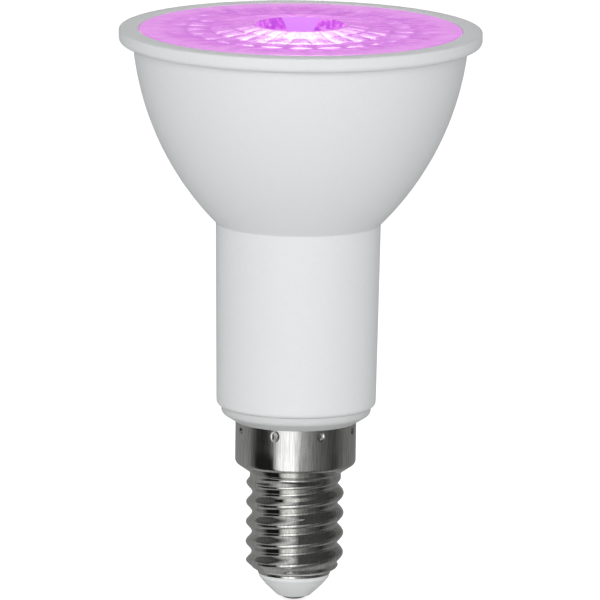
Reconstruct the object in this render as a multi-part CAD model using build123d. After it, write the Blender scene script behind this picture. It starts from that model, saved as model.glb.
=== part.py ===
from build123d import *
import math
import os

# An LED grow lamp with a small screw cap, in millimetres.
# The tip of the centre contact is at the origin, and +Z runs up the axis to the lens.
# Right of the lamp is +X, and its front is towards -Y.

# Heights, stacked from the tip up
CONTACT_DOME_H = 0.45
CONTACT_EDGE_H = 0.15
NOSE_H = 3.15
SHELL_H = 21.75
COLLAR_CHAMFER_H = 1.2
COLLAR_BAND_H = 1.0
NECK_H = 25.95
BOWL_H = 25.0
FLANGE_H = 2.35

# Housing
RIM_R = 25.4
RIM_FACE_W = 2.8
FLANGE_OVERHANG = 1.98
BOWL_ARC_R = 41.4
NECK_TOP_R = 11.55
NECK_BASE_R = 11.16
BOWL_WALL = 1.8
NECK_WALL = 1.6
RIM_TOP_EDGE = 0.3
RIM_UNDER_ROUND = 0.5
NECK_BLEND_R = 1.4
NECK_BASE_EDGE = 0.7

# Base plug
COLLAR_R = 10.47
COLLAR_BASE_R = 8.55
PLUG_FIT = 0.06
PLUG_SPIGOT_H = 7.5
PLUG_SPIGOT_WALL = 1.3
PLUG_FLOOR_T = 1.0
CAP_SPIGOT_END_GAP = 0.95
BARB_OUT = 0.4
BARB_H = 1.6
BARB_W = 4.0
BARB_CLEARANCE = 0.1

# Screw cap
SHEET_T = 0.3
SKIRT_R = 8.46
SKIRT_H = 5.95
SHOULDER_ANGLE = 62.0
SHOULDER_EDGE = 0.6
THREAD_PITCH = 2.822
THREAD_CREST_R = 6.85
THREAD_DEPTH = 0.85
THREAD_RIDGE_W = 2.2
THREAD_BEVEL = 0.7
THREAD_LEAD_IN = 2.65
THREAD_TOP_GAP = 0.1
MOUTH_INSET = 1.07
END_CONE_ANGLE = 48.0
CRIMP_COUNT = 8
CRIMP_FIRST_ANGLE = 25.0
CRIMP_DROP = 0.9
CRIMP_W = 1.1
CRIMP_H = 1.4
CRIMP_DEPTH = 0.45
CRIMP_CLEARANCE = 0.05

# Insulator and centre contact
NOSE_TIP_R = 2.3
NOSE_EDGE_H = 0.4
INSULATOR_FIT = 0.05
INSULATOR_FLANGE_W = 0.6
INSULATOR_FLANGE_H = 1.8
CONTACT_R = 1.8
CONTACT_PIN_R = 0.7
CONTACT_PIN_PROUD = 1.5

# Lens
LENS_FIT = 0.1
LENS_FLANGE_T = 2.0
LENS_RING_W = 3.3
LENS_TAPER_STEP = 0.2
LENS_FOOT_WALL = 0.9
LENS_FOOT_GAP = 0.3
LENS_WEB_T = 2.0
WELL_R = 6.1
WELL_LIP_W = 0.5
CAVITY_CLEARANCE = 0.6
CAVITY_DEPTH = 6.0
FLUTE_COUNT = 24
FLUTE_DEPTH = 0.45
FACET_RING_COUNT = 4
FACET_RING_DEPTH = 0.3

# Heat spreader and LED board
SPREADER_FLANGE_T = 0.8
SPREADER_WALL = 1.0
SPREADER_BASE_T = 1.5
SPREADER_DEPTH = 18.7
SPREADER_CLEARANCE = 0.15
LED_BOARD_T = 1.2
LED_BOARD_CLEARANCE = 0.25
LED_W = 2.8
LED_L = 3.5
LED_H = 0.8
LED_GAP = 0.15
LED_WINDOW_MARGIN = 0.4
LED_WINDOW_DEPTH = 0.25
LED_COUNT = 6
BLUE_PLACES = (1, 4)
SCREW_R = 1.15
SCREW_HEAD_R = 1.9
SCREW_HEAD_H = 1.4
SCREW_PROUD = 0.3
SCREW_CLEARANCE = 0.05
SCREW_SLOT_W = 0.5
SCREW_SLOT_DEPTH = 0.6

# Driver board and what it carries
DRIVER_T = 1.2
DRIVER_FIT = 0.1
DRIVER_TOP_GAP = 2.5
GUIDE_T = 1.0
GUIDE_GRIP = 1.0
GUIDE_GAP = 0.5
PART_GAP = 0.6
SEAT_GAP = 0.05
LANDING_H = 2.0
FUSE_R = 1.3
FUSE_L = 6.5
FILM_W = 4.5
FILM_T = 3.0
FILM_H = 4.5
FILM_EDGE = 0.6
INDUCTOR_R = 3.0
INDUCTOR_L = 6.0
CAPACITOR_R = 4.0
CAPACITOR_EDGE = 0.5
RECTIFIER_W = 4.7
RECTIFIER_H = 3.9
RECTIFIER_T = 2.4
RECTIFIER_LEG_W = 0.6
RECTIFIER_LEG_PAIRS = 2
CHIP_W = 3.9
CHIP_H = 4.9
CHIP_T = 1.5
CHIP_LEG_W = 0.4
CHIP_LEG_PAIRS = 4
LEG_REACH = 0.9
LEG_T = 0.2
SMALL_PART_W = 1.6
SMALL_PART_H = 0.8
SMALL_PART_T = 0.6
SMALL_PART_ROWS = 2
SMALL_PART_PITCH = 2.0
SMALL_PART_X = 3.5

# Header and leads
PIN_W = 0.64
PIN_PITCH = 2.54
PIN_LANDING = 4.0
PIN_PROUD = 0.8
PIN_HOLE_CLEARANCE = 0.4
HEADER_W = 5.08
HEADER_T = 2.2
HEADER_H = 2.5
HEADER_CLEARANCE = 0.02
LEAD_R = 0.6
LEAD_GAP = 0.1
NEUTRAL_LEAD_DROP = 7.0

# Levels that follow from the stack
CONTACT_H = CONTACT_DOME_H + CONTACT_EDGE_H
MOUTH_Z = CONTACT_H + NOSE_H
SKIRT_TOP_Z = MOUTH_Z + SHELL_H
SHOULDER_Z = SKIRT_TOP_Z - SKIRT_H
CRIMP_Z = SKIRT_TOP_Z - CRIMP_DROP
CAP_SPIGOT_Z = SHOULDER_Z + CAP_SPIGOT_END_GAP
INSULATOR_TOP_Z = MOUTH_Z + INSULATOR_FLANGE_H
CONTACT_TOP_Z = INSULATOR_TOP_Z + CONTACT_PIN_PROUD
NECK_BASE_Z = SKIRT_TOP_Z + COLLAR_CHAMFER_H + COLLAR_BAND_H
PLUG_FLOOR_Z = NECK_BASE_Z + PLUG_FLOOR_T
PLUG_TOP_Z = NECK_BASE_Z + PLUG_SPIGOT_H
BOWL_BASE_Z = NECK_BASE_Z + NECK_H
FLANGE_Z = BOWL_BASE_Z + BOWL_H
RIM_Z = FLANGE_Z + FLANGE_H
LENS_SEAT_Z = RIM_Z - LENS_FLANGE_T
LEDGE_Z = LENS_SEAT_Z - SPREADER_FLANGE_T
SPREADER_BASE_Z = LEDGE_Z - SPREADER_DEPTH
LED_BOARD_Z = SPREADER_BASE_Z + SPREADER_BASE_T
LED_Z = LED_BOARD_Z + LED_BOARD_T
LENS_FOOT_Z = LED_Z + LENS_FOOT_GAP
FACET_FLOOR_Z = RIM_Z - LENS_FLANGE_T / 2
DRIVER_TOP_Z = SPREADER_BASE_Z - DRIVER_TOP_GAP
PARTS_Z = PLUG_FLOOR_Z + LANDING_H
INDUCTOR_Z = PARTS_Z + max(FUSE_L, FILM_H) + PART_GAP + INDUCTOR_R
CAPACITOR_Z = INDUCTOR_Z + INDUCTOR_R + PART_GAP
PIN_FOOT_Z = DRIVER_TOP_Z - PIN_LANDING

# Radii and places that follow from their neighbours
BOWL_TOP_R = RIM_R - FLANGE_OVERHANG
SEAT_R = RIM_R - RIM_FACE_W
LENS_R = SEAT_R - LENS_FIT
CORE_R = THREAD_CREST_R - THREAD_DEPTH
MOUTH_R = CORE_R - MOUTH_INSET
NECK_BORE_R = NECK_BASE_R - NECK_WALL
PLUG_SPIGOT_R = NECK_BORE_R - PLUG_FIT
PLUG_SPIGOT_BORE_R = PLUG_SPIGOT_R - PLUG_SPIGOT_WALL
PLUG_BORE_R = CORE_R - SHEET_T
CAP_SPIGOT_R = SKIRT_R - SHEET_T - CRIMP_DEPTH - CRIMP_CLEARANCE
LED_RING_R = LED_L / 2 + (LED_W / 2 + LED_GAP) / math.tan(math.pi / LED_COUNT)
CAVITY_R = math.hypot(LED_RING_R + LED_L / 2, LED_W / 2) + CAVITY_CLEARANCE
LENS_FOOT_R = CAVITY_R + LENS_FOOT_WALL
SCREW_PLACE_R = LENS_FOOT_R + LENS_FOOT_GAP + SCREW_HEAD_R
FLUTE_R = LENS_R - LENS_RING_W
WELL_LIP_R = WELL_R + WELL_LIP_W
DRIVER_FRONT_Y = -FUSE_R - SEAT_GAP
DRIVER_BACK_Y = DRIVER_FRONT_Y - DRIVER_T
PART_Y = DRIVER_FRONT_Y + SEAT_GAP
DRIVER_HALF_W = math.sqrt((PLUG_SPIGOT_BORE_R - DRIVER_FIT) ** 2 - DRIVER_BACK_Y**2)

BOTTOM = (Align.CENTER, Align.CENTER, Align.MIN)
ON_FRONT = (Align.CENTER, Align.MIN, Align.MIN)
ON_BACK = (Align.CENTER, Align.MAX, Align.CENTER)


def outline(*corners):
    """A closed flat outline with straight sides; across is the radius and up is the height."""
    return make_face(Polyline(*corners, close=True))


def corner_of(shape, across, up):
    """The corner of an outline that is nearest to a point."""
    return shape.vertices().sort_by_distance((across, up, 0))[0]


def turned(shape):
    """The outline turned once round the lamp's axis."""
    return revolve(Plane.XZ * shape, Axis.Z)


def disc(radius, bottom, height):
    return Pos(0, 0, bottom) * Cylinder(radius, height, align=BOTTOM)


def bowl_centre():
    """The centre, across and up, of the arc that runs from the top of the neck to the flange."""
    low = Vector(NECK_TOP_R, BOWL_BASE_Z)
    high = Vector(BOWL_TOP_R, FLANGE_Z)
    chord = high - low
    reach = math.sqrt(BOWL_ARC_R**2 - (chord.length / 2) ** 2)
    inwards = Vector(-chord.Y, chord.X).normalized()
    return (low + high) * 0.5 + inwards * reach


def bowl_r(height, inset=0.0):
    """The bowl's radius at a height, or that of a wall set in from it."""
    centre = bowl_centre()
    return centre.X + math.sqrt((BOWL_ARC_R - inset) ** 2 - (height - centre.Y) ** 2)


def bowl_height(radius, inset=0.0):
    """The height at which the bowl, or a wall set in from it, has a radius."""
    centre = bowl_centre()
    return centre.Y - math.sqrt((BOWL_ARC_R - inset) ** 2 - (radius - centre.X) ** 2)


def housing_skin():
    """The solid form of bowl, neck and flange, before it is hollowed."""
    middle_z = (BOWL_BASE_Z + FLANGE_Z) / 2
    wall = ThreePointArc((NECK_TOP_R, BOWL_BASE_Z), (bowl_r(middle_z), middle_z), (BOWL_TOP_R, FLANGE_Z))
    rim = Polyline((BOWL_TOP_R, FLANGE_Z), (RIM_R, FLANGE_Z), (RIM_R, RIM_Z), (0, RIM_Z))
    neck = Polyline((0, RIM_Z), (0, NECK_BASE_Z), (NECK_BASE_R, NECK_BASE_Z), (NECK_TOP_R, BOWL_BASE_Z))
    shape = make_face(wall + rim + neck)
    shape = fillet(corner_of(shape, NECK_TOP_R, BOWL_BASE_Z), NECK_BLEND_R)
    shape = fillet(corner_of(shape, RIM_R, FLANGE_Z), RIM_UNDER_ROUND)
    shape = chamfer(corner_of(shape, RIM_R, RIM_Z), RIM_TOP_EDGE)
    shape = chamfer(corner_of(shape, NECK_BASE_R, NECK_BASE_Z), NECK_BASE_EDGE)
    return turned(shape)


def housing_hollow():
    """The space inside: a bore for the plug, straight tapers up neck and bowl, and the seat for the lens."""
    bore_top_r = NECK_TOP_R - NECK_WALL
    return turned(
        outline(
            (0, NECK_BASE_Z),
            (NECK_BORE_R, NECK_BASE_Z),
            (NECK_BORE_R, PLUG_TOP_Z + GUIDE_GAP),
            (bore_top_r, bowl_height(bore_top_r, BOWL_WALL)),
            (bowl_r(SPREADER_BASE_Z, BOWL_WALL), SPREADER_BASE_Z),
            (bowl_r(LEDGE_Z, BOWL_WALL), LEDGE_Z),
            (SEAT_R, LEDGE_Z),
            (SEAT_R, RIM_Z),
            (0, RIM_Z),
        )
    )


def snap_barbs(clearance):
    """Two wedges on the plug's spigot, or with a clearance the pockets for them in the neck."""
    foot_z = NECK_BASE_Z + PLUG_SPIGOT_H / 2 - clearance
    root_r = PLUG_SPIGOT_R - PLUG_SPIGOT_WALL / 2
    tip_r = PLUG_SPIGOT_R + BARB_OUT + clearance
    top_z = foot_z + BARB_H + 2 * clearance
    side = outline((root_r, foot_z), (tip_r, foot_z), (root_r, top_z))
    barb = extrude(Plane.XZ * side, BARB_W / 2 + clearance, both=True)
    return [barb, Rot(Z=180) * barb]


def guide_ribs():
    """Two pairs of ribs inside the neck, which hold the driver board by its long edges."""
    bottom = PLUG_TOP_Z + GUIDE_GAP
    height = BOWL_BASE_Z - bottom
    within = disc(NECK_BORE_R + NECK_WALL / 2, bottom, height)
    rib = Box(NECK_BASE_R, GUIDE_T, height, align=(Align.MIN, Align.MIN, Align.MIN))
    inner_x = DRIVER_HALF_W - GUIDE_GRIP
    ribs = []
    for y in (DRIVER_FRONT_Y + DRIVER_FIT, DRIVER_BACK_Y - DRIVER_FIT - GUIDE_T):
        placed = Pos(inner_x, y, bottom) * rib & within
        ribs += [placed, mirror(placed, Plane.YZ)]
    return ribs


def housing():
    """Bowl, neck and rim in one white moulding."""
    return housing_skin() - housing_hollow() - snap_barbs(BARB_CLEARANCE) + guide_ribs()


def base_plug():
    """The stepped collar under the neck, with a spigot up into the neck and one that the cap's dents grip."""
    shape = outline(
        (PLUG_BORE_R, CAP_SPIGOT_Z),
        (CAP_SPIGOT_R, CAP_SPIGOT_Z),
        (CAP_SPIGOT_R, SKIRT_TOP_Z),
        (COLLAR_BASE_R, SKIRT_TOP_Z),
        (COLLAR_R, SKIRT_TOP_Z + COLLAR_CHAMFER_H),
        (COLLAR_R, NECK_BASE_Z),
        (PLUG_SPIGOT_R, NECK_BASE_Z),
        (PLUG_SPIGOT_R, PLUG_TOP_Z),
        (PLUG_SPIGOT_BORE_R, PLUG_TOP_Z),
        (PLUG_SPIGOT_BORE_R, PLUG_FLOOR_Z),
        (PLUG_BORE_R, PLUG_FLOOR_Z),
    )
    return turned(shape) + snap_barbs(0)


def mouth_r(inset):
    """The radius of the cap's open end, or of a wall set in from its cone."""
    return MOUTH_R - inset / math.cos(math.radians(END_CONE_ANGLE))


def cone_rise(width):
    """How far the cone at the cap's open end rises over a width."""
    return width / math.tan(math.radians(END_CONE_ANGLE))


def shoulder_drop():
    """How far the shoulder falls between the skirt and the threaded core."""
    return (SKIRT_R - CORE_R) / math.tan(math.radians(SHOULDER_ANGLE))


def cap_form(inset):
    """The screw cap's plain form without its thread, set in by the sheet's thickness or by nothing."""
    skirt_r = SKIRT_R - inset
    core_r = CORE_R - inset
    shoulder_z = SHOULDER_Z + inset * math.tan(math.radians(SHOULDER_ANGLE / 2))
    shape = outline(
        (0, MOUTH_Z),
        (mouth_r(inset), MOUTH_Z),
        (core_r, MOUTH_Z + cone_rise(core_r - mouth_r(inset))),
        (core_r, shoulder_z - shoulder_drop()),
        (skirt_r, shoulder_z),
        (skirt_r, SKIRT_TOP_Z),
        (0, SKIRT_TOP_Z),
    )
    return turned(chamfer(corner_of(shape, skirt_r, shoulder_z), SHOULDER_EDGE))


def thread_ridge():
    """The thread's ridge wound on the cap's core, faded out by the mouth's cone and under the shoulder."""
    root_r = CORE_R - SHEET_T / 2
    bevel_r = CORE_R + THREAD_DEPTH * THREAD_BEVEL
    half = THREAD_RIDGE_W / 2
    bevel_half = half * math.sqrt(1 - THREAD_BEVEL**2)
    start_z = MOUTH_Z - THREAD_LEAD_IN
    end_z = SHOULDER_Z + THREAD_PITCH / 2
    section = outline(
        (root_r, -half),
        (bevel_r, -bevel_half),
        (THREAD_CREST_R, 0),
        (bevel_r, bevel_half),
        (root_r, half),
    )
    path = Helix(THREAD_PITCH, end_z - start_z, CORE_R, center=(0, 0, start_z))
    ridge = sweep(Plane.XZ * Pos(0, start_z) * section, path, is_frenet=True)
    top_z = SHOULDER_Z - shoulder_drop() - THREAD_TOP_GAP
    limit_r = THREAD_CREST_R + THREAD_DEPTH
    limit = outline(
        (0, MOUTH_Z),
        (MOUTH_R, MOUTH_Z),
        (limit_r, MOUTH_Z + cone_rise(limit_r - MOUTH_R)),
        (limit_r, top_z),
        (0, top_z),
    )
    return ridge & turned(limit)


def crimps(inset):
    """Wedge-shaped punch marks all round the skirt: the dents, or their backs on the inside."""
    root_r = SKIRT_R - inset + SHEET_T
    tip_r = SKIRT_R - inset - CRIMP_DEPTH
    half = (CRIMP_W + inset) / 2 * (root_r - tip_r) / CRIMP_DEPTH
    wedge = outline((root_r, -half), (tip_r, 0), (root_r, half))
    dent = extrude(Pos(0, 0, CRIMP_Z) * wedge, (CRIMP_H + inset) / 2, both=True)
    pitch = 360 / CRIMP_COUNT
    return [Rot(Z=CRIMP_FIRST_ANGLE + pitch * i) * dent for i in range(CRIMP_COUNT)]


def cap_shell():
    """The screw cap: one pressed shell with a rolled thread and a ring of punched dents."""
    outside = cap_form(0) + thread_ridge() - crimps(0)
    inside = cap_form(SHEET_T) - crimps(SHEET_T)
    return outside - inside


def cap_insulator():
    """The white nose under the cap, moulded round the edge of the cap's open end."""
    hole_r = CONTACT_PIN_R + INSULATOR_FIT
    waist_r = mouth_r(SHEET_T) - INSULATOR_FIT
    flange_r = waist_r + INSULATOR_FLANGE_W
    return turned(
        outline(
            (hole_r, CONTACT_H),
            (NOSE_TIP_R, CONTACT_H),
            (MOUTH_R, MOUTH_Z - NOSE_EDGE_H),
            (MOUTH_R, MOUTH_Z),
            (waist_r, MOUTH_Z),
            (flange_r, MOUTH_Z + cone_rise(INSULATOR_FLANGE_W)),
            (flange_r, INSULATOR_TOP_Z),
            (hole_r, INSULATOR_TOP_Z),
        )
    )


def centre_contact():
    """A nail with a domed head, pushed up through the insulator."""
    dome_r = (CONTACT_R**2 + CONTACT_DOME_H**2) / (2 * CONTACT_DOME_H)
    dome = JernArc((0, 0), (1, 0), dome_r, math.degrees(math.asin(CONTACT_R / dome_r)))
    rest = Polyline(
        dome @ 1,
        (CONTACT_R, CONTACT_H),
        (CONTACT_PIN_R, CONTACT_H),
        (CONTACT_PIN_R, CONTACT_TOP_Z),
        (0, CONTACT_TOP_Z),
        (0, 0),
    )
    return turned(make_face(dome + rest))


def lens_body():
    """The lens without its faceted band: flange, tapering body, LED cavity and front well."""
    ceiling_z = LENS_FOOT_Z + CAVITY_DEPTH
    floor_z = ceiling_z + LENS_WEB_T
    return turned(
        outline(
            (CAVITY_R, LENS_FOOT_Z),
            (LENS_FOOT_R, LENS_FOOT_Z),
            (LENS_FOOT_R, LED_Z + SCREW_HEAD_H + LENS_FOOT_GAP),
            (FLUTE_R - LENS_TAPER_STEP, LENS_SEAT_Z),
            (LENS_R, LENS_SEAT_Z),
            (LENS_R, RIM_Z),
            (FLUTE_R, RIM_Z),
            (FLUTE_R, FACET_FLOOR_Z),
            (WELL_LIP_R, FACET_FLOOR_Z),
            (WELL_LIP_R, RIM_Z),
            (WELL_R, RIM_Z),
            (WELL_R, floor_z),
            (0, floor_z),
            (0, ceiling_z),
            (CAVITY_R, ceiling_z),
        )
    )


def facet_wedge():
    """One flute of the faceted band: a low ridge, cut across into a row of pillows."""
    angle = 360 / FLUTE_COUNT
    band = outline(
        (WELL_LIP_R, FACET_FLOOR_Z),
        (FLUTE_R, FACET_FLOOR_Z),
        (FLUTE_R, RIM_Z),
        (WELL_LIP_R, RIM_Z),
    )
    wedge = Rot(Z=-angle / 2) * revolve(Plane.XZ * band, Axis.Z, angle)
    edge_y = FLUTE_R * math.tan(math.radians(angle / 2))
    slope = outline((0, RIM_Z), (edge_y, RIM_Z - FLUTE_DEPTH), (edge_y, RIM_Z))
    side = extrude(Plane.YZ * slope, LENS_R)
    pitch = (FLUTE_R - WELL_LIP_R) / FACET_RING_COUNT
    notches = []
    for ring in range(1, FACET_RING_COUNT):
        x = WELL_LIP_R + pitch * ring
        notch = outline((x - pitch / 2, RIM_Z), (x, RIM_Z - FACET_RING_DEPTH), (x + pitch / 2, RIM_Z))
        notches.append(extrude(Plane.XZ * notch, edge_y, both=True))
    return wedge - side - mirror(side, Plane.XZ) - notches


def lens():
    """The clear moulding: a flange in the rim, and a body that gathers the LEDs' light."""
    wedge = facet_wedge()
    pitch = 360 / FLUTE_COUNT
    return lens_body() + [Rot(Z=pitch * i) * wedge for i in range(FLUTE_COUNT)]


def spreader_r(height, inset=0.0):
    """The radius of the heat spreader's tapered wall at a height, or of its inside."""
    gap = BOWL_WALL + SPREADER_CLEARANCE
    base_r = bowl_r(SPREADER_BASE_Z, gap)
    spread = bowl_r(LEDGE_Z, gap) - base_r
    rise = LEDGE_Z - SPREADER_BASE_Z
    return base_r + spread * (height - SPREADER_BASE_Z) / rise - inset * math.hypot(spread, rise) / rise


def led_board_r():
    return spreader_r(LED_BOARD_Z, SPREADER_WALL) - LED_BOARD_CLEARANCE


def board_holes(bottom, height):
    """What passes through the LED board and the spreader's base: two screws and the header's pins."""
    screw_hole = disc(SCREW_R + SCREW_CLEARANCE, bottom, height)
    slot_l = PIN_PITCH + PIN_W + 2 * PIN_HOLE_CLEARANCE
    slot_w = PIN_W + 2 * PIN_HOLE_CLEARANCE
    slot = Pos(0, PART_Y + PIN_W / 2, bottom) * Box(slot_l, slot_w, height, align=BOTTOM)
    return [Pos(0, -SCREW_PLACE_R) * screw_hole, Pos(0, SCREW_PLACE_R) * screw_hole, slot]


def heat_spreader():
    """A pressed aluminium cup in the bowl, held by its flange under the lens."""
    shape = outline(
        (0, SPREADER_BASE_Z),
        (spreader_r(SPREADER_BASE_Z), SPREADER_BASE_Z),
        (spreader_r(LEDGE_Z), LEDGE_Z),
        (LENS_R, LEDGE_Z),
        (LENS_R, LENS_SEAT_Z),
        (spreader_r(LENS_SEAT_Z, SPREADER_WALL), LENS_SEAT_Z),
        (spreader_r(LED_BOARD_Z, SPREADER_WALL), LED_BOARD_Z),
        (0, LED_BOARD_Z),
    )
    return turned(shape) - board_holes(SPREADER_BASE_Z, SPREADER_BASE_T)


def led_board():
    """A round metal-cored board that lies on the spreader's base."""
    return disc(led_board_r(), LED_BOARD_Z, LED_BOARD_T) - board_holes(LED_BOARD_Z, LED_BOARD_T)


def leds(places):
    """Square-cornered LED packages in a ring round the header, each with a sunken window."""
    body = Box(LED_L, LED_W, LED_H, align=BOTTOM)
    window_l = LED_L - 2 * LED_WINDOW_MARGIN
    window_w = LED_W - 2 * LED_WINDOW_MARGIN
    window = Box(window_l, window_w, LED_WINDOW_DEPTH, align=BOTTOM)
    package = body - Pos(0, 0, LED_H - LED_WINDOW_DEPTH) * window
    pitch = 360 / LED_COUNT
    return Compound([Rot(Z=pitch * i) * Pos(LED_RING_R, 0, LED_Z) * package for i in places])


def red_leds():
    return leds([i for i in range(LED_COUNT) if i not in BLUE_PLACES])


def blue_leds():
    return leds(BLUE_PLACES)


def board_screws():
    """Two slotted screws through the LED board into the spreader's base."""
    head = disc(SCREW_HEAD_R, LED_Z, SCREW_HEAD_H)
    slot_z = LED_Z + SCREW_HEAD_H - SCREW_SLOT_DEPTH
    slot = Pos(0, 0, slot_z) * Box(2 * SCREW_HEAD_R, SCREW_SLOT_W, SCREW_SLOT_DEPTH, align=BOTTOM)
    shank_l = LED_BOARD_T + SPREADER_BASE_T + SCREW_PROUD
    screw = head - slot + disc(SCREW_R, LED_Z - shank_l, shank_l)
    return Compound([Pos(0, -SCREW_PLACE_R) * screw, Pos(0, SCREW_PLACE_R) * screw])


def driver_board():
    """The upright board in the neck: its foot stands on the plug's floor, its edges run in the ribs."""
    height = DRIVER_TOP_Z - PLUG_FLOOR_Z
    place = Pos(0, DRIVER_BACK_Y, PLUG_FLOOR_Z)
    return place * Box(2 * DRIVER_HALF_W, DRIVER_T, height, align=ON_FRONT)


def fuse_resistor():
    """A round resistor on the lamp's axis, straight above the live lead."""
    return disc(FUSE_R, PARTS_Z, FUSE_L)


def film_capacitor():
    """A block with bevelled upright edges, beside the fuse resistor."""
    x = FUSE_R + PART_GAP + FILM_W / 2
    block = Pos(x, PART_Y, PARTS_Z) * Box(FILM_W, FILM_T, FILM_H, align=ON_FRONT)
    return chamfer(block.edges().filter_by(Axis.Z).group_by(Axis.Y)[-1], FILM_EDGE)


def inductor():
    """A wound drum in a shrunk sleeve, lying across the board's front face."""
    place = Pos(0, PART_Y + INDUCTOR_R, INDUCTOR_Z)
    return place * Rot(Y=90) * Cylinder(INDUCTOR_R, INDUCTOR_L)


def bulk_capacitor():
    """The upright can above the inductor, with a bevelled top edge."""
    height = PIN_FOOT_Z - PART_GAP - CAPACITOR_Z
    can = Pos(0, PART_Y + CAPACITOR_R) * disc(CAPACITOR_R, CAPACITOR_Z, height)
    return chamfer(can.edges().group_by(Axis.Z)[-1], CAPACITOR_EDGE)


def legged_part(width, height, thickness, leg_w, legs, centre_z):
    """A moulded body on the board's back, with flat legs out of its two sides."""
    seat = Pos(0, DRIVER_BACK_Y - SEAT_GAP, centre_z)
    body = seat * Box(width, thickness, height, align=ON_BACK)
    leg = Box(width + 2 * LEG_REACH, LEG_T, leg_w, align=ON_BACK)
    pitch = height / legs
    return body + [seat * Pos(0, 0, pitch * (i + 0.5) - height / 2) * leg for i in range(legs)]


def bridge_rectifier():
    centre_z = PARTS_Z + RECTIFIER_H / 2
    return legged_part(RECTIFIER_W, RECTIFIER_H, RECTIFIER_T, RECTIFIER_LEG_W, RECTIFIER_LEG_PAIRS, centre_z)


def driver_chip():
    return legged_part(CHIP_W, CHIP_H, CHIP_T, CHIP_LEG_W, CHIP_LEG_PAIRS, INDUCTOR_Z)


def chip_parts():
    """Small square-cornered parts in pairs up the board's back, above the driver chip."""
    block = Box(SMALL_PART_W, SMALL_PART_T, SMALL_PART_H, align=ON_BACK)
    row_z = [CAPACITOR_Z + SMALL_PART_PITCH * (i + 0.5) for i in range(SMALL_PART_ROWS)]
    y = DRIVER_BACK_Y - SEAT_GAP
    return Compound([Pos(x, y, z) * block for x in (-SMALL_PART_X, SMALL_PART_X) for z in row_z])


def pins(grown):
    """The header's two square pins, or with some growth the holes for them."""
    height = LED_Z + PIN_PROUD - PIN_FOOT_Z
    pin = Box(PIN_W + 2 * grown, PIN_W + 2 * grown, height, align=BOTTOM)
    y = PART_Y + PIN_W / 2
    return [Pos(x, y, PIN_FOOT_Z) * pin for x in (-PIN_PITCH / 2, PIN_PITCH / 2)]


def header_pins():
    """Two straight pins from the driver board up through the LED board."""
    return Compound(pins(0))


def header_bar():
    """The moulded bar that holds the pins on the driver board."""
    place = Pos(0, PART_Y, DRIVER_TOP_Z - HEADER_H)
    return place * Box(HEADER_W, HEADER_T, HEADER_H, align=ON_FRONT) - pins(HEADER_CLEARANCE)


def live_lead():
    """The straight insulated wire from the fuse resistor down to the centre contact."""
    return disc(LEAD_R, CONTACT_TOP_Z, PARTS_Z - CONTACT_TOP_Z)


def neutral_lead():
    """The straight wire from the driver board down along the inside of the screw cap."""
    y = PART_Y + LEAD_R
    x = math.sqrt((PLUG_BORE_R - LEAD_R - LEAD_GAP) ** 2 - y**2)
    bottom = CAP_SPIGOT_Z - NEUTRAL_LEAD_DROP
    return Pos(x, y) * disc(LEAD_R, bottom, PARTS_Z - LEAD_GAP - bottom)


NODES = (
    centre_contact,
    cap_insulator,
    cap_shell,
    base_plug,
    housing,
    lens,
    heat_spreader,
    led_board,
    red_leds,
    blue_leds,
    board_screws,
    driver_board,
    fuse_resistor,
    film_capacitor,
    inductor,
    bulk_capacitor,
    bridge_rectifier,
    driver_chip,
    chip_parts,
    header_pins,
    header_bar,
    live_lead,
    neutral_lead,
)

os.makedirs("parts", exist_ok=True)
for make in NODES:
    export_step(make(), f"parts/{make.__name__}.step")
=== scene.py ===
import math

import bmesh
import bpy
from mathutils import Matrix, Vector


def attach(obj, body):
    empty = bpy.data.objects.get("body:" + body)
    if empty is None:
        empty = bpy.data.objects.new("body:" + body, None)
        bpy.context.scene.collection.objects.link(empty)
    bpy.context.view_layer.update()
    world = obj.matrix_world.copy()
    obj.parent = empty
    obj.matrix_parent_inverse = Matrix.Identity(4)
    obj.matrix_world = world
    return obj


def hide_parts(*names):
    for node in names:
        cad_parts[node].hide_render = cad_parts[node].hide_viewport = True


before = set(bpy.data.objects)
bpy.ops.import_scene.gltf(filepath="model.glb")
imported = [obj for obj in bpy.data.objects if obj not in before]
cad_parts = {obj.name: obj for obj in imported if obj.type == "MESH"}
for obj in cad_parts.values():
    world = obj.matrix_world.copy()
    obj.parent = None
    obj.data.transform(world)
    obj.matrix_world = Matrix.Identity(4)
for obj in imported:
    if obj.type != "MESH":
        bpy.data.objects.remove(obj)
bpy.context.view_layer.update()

# Lengths are in millimetres until a mesh or a material is made, except in the studio, which is in metres
MM = 0.001

# Levels up the lamp's axis, from the contact's tip
CONTACT_Z = 0.6
MOUTH_Z = 3.75
SHOULDER_Z = 19.55
SKIRT_TOP_Z = 25.5
COLLAR_Z = 26.7
NECK_BASE_Z = 27.7
BOWL_BASE_Z = 53.65
FLANGE_Z = 78.95
LEDGE_Z = 78.2
LENS_SEAT_Z = 79.0
RIM_Z = 81.0

# Housing and base plug
RIM_R = 25.4
SEAT_R = 22.6
BOWL_TOP_R = 23.42
BOWL_ARC_R = 41.4
BOWL_WALL = 1.8
BOWL_STEP = 0.6
NECK_TOP_R = 11.55
NECK_BASE_R = 11.16
NECK_BORE_R = 9.56
NECK_WALL = 1.6
CORE_BASE_Z = 59.5
BORE_TOP_Z = 54.6
COLLAR_R = 10.47
COLLAR_BASE_R = 8.55
PLUG_BORE_R = 5.7
CAP_SPIGOT_R = 7.66
CAP_SPIGOT_Z = 20.5
PLUG_SPIGOT_R = 9.5
PLUG_SPIGOT_BORE_R = 8.2
PLUG_FLOOR_Z = 28.7
PLUG_TOP_Z = 35.2

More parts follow.
